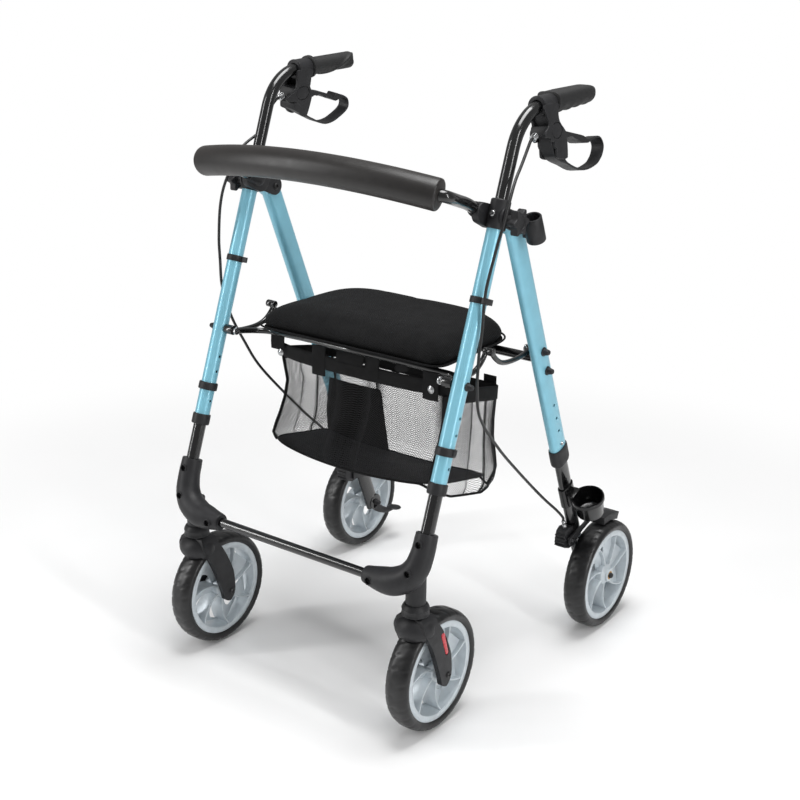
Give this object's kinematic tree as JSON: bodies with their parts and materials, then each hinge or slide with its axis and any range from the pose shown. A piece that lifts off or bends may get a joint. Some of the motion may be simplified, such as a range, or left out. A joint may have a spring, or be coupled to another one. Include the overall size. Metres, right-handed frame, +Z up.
{
  "type": "four-wheel rollator",
  "caption": "Folding walking aid on wheels with seat, padded backrest, basket, loop brakes, adjustable handles, swivelling front wheels, stick loop and stick cup.",
  "frame": {"origin": "middle of the rollator on the floor, halfway across and halfway between the front and rear wheels' outer edges", "axes": "+Z up, -Y towards the front with the swivelling wheels and the backrest, +Y towards the person pushing, +X towards the side with the stick cup"},
  "size_m": [0.622, 0.667, 1.0018],
  "materials": {
    "blue_paint": "satin light blue paint",
    "black_paint": "gloss black paint",
    "black_plastic": "fine grained charcoal plastic",
    "silver_plastic": "light silver grey plastic",
    "steel": "bright steel",
    "rubber": "matt black rubber",
    "tyre": "matt black tyre rubber",
    "foam": "soft black foam",
    "fabric": "black woven fabric"
  },
  "bodies": {
    "frame": {"front_leg_left": "blue_paint", "front_leg_right": "blue_paint", "top_bracket_left": "black_plastic", "top_bracket_right": "black_plastic", "front_leg_collar_left": "black_plastic", "front_leg_collar_right": "black_plastic", "front_lock_ring_left": "black_plastic", "front_lock_ring_right": "black_plastic", "backrest_tube": "black_paint", "backrest_pad": "foam", "stick_loop": "black_plastic", "basket": "fabric", "brake_cable_upper_left": "rubber", "brake_cable_upper_right": "rubber", "brake_cable_lower_left": "rubber", "brake_cable_lower_right": "rubber"},
    "rear_frame": {"rear_leg_left": "blue_paint", "rear_leg_right": "blue_paint", "rear_leg_collar_left": "black_plastic", "rear_leg_collar_right": "black_plastic", "rear_cross_tube": "black_paint"},
    "front_lower": {"front_inner_tube_left": "black_paint", "front_inner_tube_right": "black_paint", "front_elbow_left": "black_plastic", "front_elbow_right": "black_plastic", "front_cross_bar": "black_paint"},
    "seat": {"seat_frame": "black_paint", "seat_pad": "fabric"},
    "handle_left": {"handle_tube_left": "black_paint", "grip_left": "rubber", "brake_housing_left": "black_plastic"},
    "brake_lever_left": {"brake_lever_left": "black_plastic"},
    "star_knob_left": {"star_knob_left": "black_plastic"},
    "side_link_left": {"side_link_left": "black_plastic"},
    "lower_rear_leg_left": {"lower_rear_leg_left": "black_paint", "brake_block_left": "black_plastic"},
    "brake_arm_left": {"brake_arm_left": "black_plastic"},
    "snap_button_left": {"snap_button_left": "steel"},
    "rear_wheel_left": {"rear_wheel_left": "silver_plastic", "rear_tyre_left": "tyre"},
    "front_fork_left": {"front_fork_left": "black_plastic"},
    "front_wheel_left": {"front_wheel_left": "silver_plastic", "front_tyre_left": "tyre"},
    "handle_right": {"handle_tube_right": "black_paint", "grip_right": "rubber", "brake_housing_right": "black_plastic"},
    "brake_lever_right": {"brake_lever_right": "black_plastic"},
    "star_knob_right": {"star_knob_right": "black_plastic"},
    "side_link_right": {"side_link_right": "black_plastic"},
    "lower_rear_leg_right": {"lower_rear_leg_right": "black_paint", "brake_block_right": "black_plastic", "stick_cup": "black_plastic"},
    "brake_arm_right": {"brake_arm_right": "black_plastic"},
    "snap_button_right": {"snap_button_right": "steel"},
    "rear_wheel_right": {"rear_wheel_right": "silver_plastic", "rear_tyre_right": "tyre"},
    "front_fork_right": {"front_fork_right": "black_plastic"},
    "front_wheel_right": {"front_wheel_right": "silver_plastic", "front_tyre_right": "tyre"}
  },
  "joints": [
    {"name": "rear_frame_fold", "type": "hinge", "parent": "frame", "child": "rear_frame", "pos_m": [0, -0.0651, 0.79], "axis": [-1, 0, 0], "range_deg": [0, 25], "deforming": ["brake_cable_lower_left", "brake_cable_lower_right"]},
    {"name": "seat_fold", "type": "hinge", "parent": "frame", "child": "seat", "pos_m": [0, -0.1944, 0.5656], "axis": [1, 0, 0], "range_deg": [0, 40.8]},
    {"name": "side_link_left_turn", "type": "hinge", "parent": "rear_frame", "child": "side_link_left", "pos_m": [-0.229, 0.0305, 0.566], "axis": [-1, 0, 0], "range_deg": [0, 27.7]},
    {"name": "side_link_right_turn", "type": "hinge", "parent": "rear_frame", "child": "side_link_right", "pos_m": [0.229, 0.0305, 0.566], "axis": [-1, 0, 0], "range_deg": [0, 27.7]},
    {"name": "front_height", "type": "slide", "parent": "frame", "child": "front_lower", "axis": [0, 0.3379, 0.9412], "range_m": [-0.026, 0.052]},
    {"name": "handle_left_height", "type": "slide", "parent": "frame", "child": "handle_left", "axis": [0, 0.3379, 0.9412], "range_m": [-0.06, 0.1], "deforming": ["brake_cable_upper_left"]},
    {"name": "brake_lever_left_squeeze", "type": "hinge", "parent": "handle_left", "child": "brake_lever_left", "pos_m": [-0.25057, 0.009, 0.93907], "axis": [0.9903, 0, -0.1392], "range_deg": [0, 14], "stiffness_Nm_per_rad": 0.5, "springref_deg": -14.32},
    {"name": "star_knob_left_turn", "type": "hinge", "parent": "frame", "child": "star_knob_left", "pos_m": [-0.28, -0.1065, 0.802], "axis": [-1, 0, 0], "range_deg": [0, 360]},
    {"name": "lower_rear_leg_left_height", "type": "slide", "parent": "rear_frame", "child": "lower_rear_leg_left", "axis": [0, -0.3927, 0.9197], "range_m": [0, 0.027]},
    {"name": "snap_button_left_press", "type": "slide", "parent": "rear_frame", "child": "snap_button_left", "axis": [-1, 0, 0], "range_m": [-0.005, 0], "stiffness_N_per_m": 300, "springref_m": 0.002},
    {"name": "brake_arm_left_turn", "type": "hinge", "parent": "lower_rear_leg_left", "child": "brake_arm_left", "pos_m": [-0.262, 0.15, 0.19], "axis": [-1, 0, 0], "range_deg": [0, 1]},
    {"name": "rear_wheel_left_spin", "type": "hinge", "parent": "lower_rear_leg_left", "child": "rear_wheel_left", "pos_m": [-0.279, 0.2335, 0.1], "axis": [1, 0, 0], "continuous": true},
    {"name": "front_caster_left_swivel", "type": "hinge", "parent": "front_lower", "child": "front_fork_left", "pos_m": [-0.2326, -0.2802, 0.2168], "axis": [0, 0, 1], "continuous": true},
    {"name": "front_wheel_left_spin", "type": "hinge", "parent": "front_fork_left", "child": "front_wheel_left", "pos_m": [-0.232, -0.2335, 0.1], "axis": [1, 0, 0], "continuous": true},
    {"name": "handle_right_height", "type": "slide", "parent": "frame", "child": "handle_right", "axis": [0, 0.3379, 0.9412], "range_m": [-0.06, 0.1], "deforming": ["brake_cable_upper_right"]},
    {"name": "brake_lever_right_squeeze", "type": "hinge", "parent": "handle_right", "child": "brake_lever_right", "pos_m": [0.25057, 0.009, 0.91826], "axis": [0.9903, 0, 0.1392], "range_deg": [0, 14], "stiffness_Nm_per_rad": 0.5, "springref_deg": -14.32},
    {"name": "star_knob_right_turn", "type": "hinge", "parent": "frame", "child": "star_knob_right", "pos_m": [0.28, -0.1065, 0.802], "axis": [1, 0, 0], "range_deg": [0, 360]},
    {"name": "lower_rear_leg_right_height", "type": "slide", "parent": "rear_frame", "child": "lower_rear_leg_right", "axis": [0, -0.3927, 0.9197], "range_m": [0, 0.027]},
    {"name": "snap_button_right_press", "type": "slide", "parent": "rear_frame", "child": "snap_button_right", "axis": [1, 0, 0], "range_m": [-0.005, 0], "stiffness_N_per_m": 300, "springref_m": 0.002},
    {"name": "brake_arm_right_turn", "type": "hinge", "parent": "lower_rear_leg_right", "child": "brake_arm_right", "pos_m": [0.262, 0.15, 0.19], "axis": [-1, 0, 0], "range_deg": [0, 1]},
    {"name": "rear_wheel_right_spin", "type": "hinge", "parent": "lower_rear_leg_right", "child": "rear_wheel_right", "pos_m": [0.279, 0.2335, 0.1], "axis": [1, 0, 0], "continuous": true},
    {"name": "front_caster_right_swivel", "type": "hinge", "parent": "front_lower", "child": "front_fork_right", "pos_m": [0.2326, -0.2802, 0.2168], "axis": [0, 0, 1], "continuous": true},
    {"name": "front_wheel_right_spin", "type": "hinge", "parent": "front_fork_right", "child": "front_wheel_right", "pos_m": [0.232, -0.2335, 0.1], "axis": [1, 0, 0], "continuous": true}
  ],
  "couplings": [
    {"joint": "seat_fold", "follows": "rear_frame_fold", "ratio": 1.622},
    {"joint": "side_link_left_turn", "follows": "rear_frame_fold", "ratio": 1.0984},
    {"joint": "brake_arm_left_turn", "follows": "brake_lever_left_squeeze", "ratio": 0.0714},
    {"joint": "side_link_right_turn", "follows": "rear_frame_fold", "ratio": 1.0984},
    {"joint": "brake_arm_right_turn", "follows": "brake_lever_right_squeeze", "ratio": 0.0714}
  ]
}
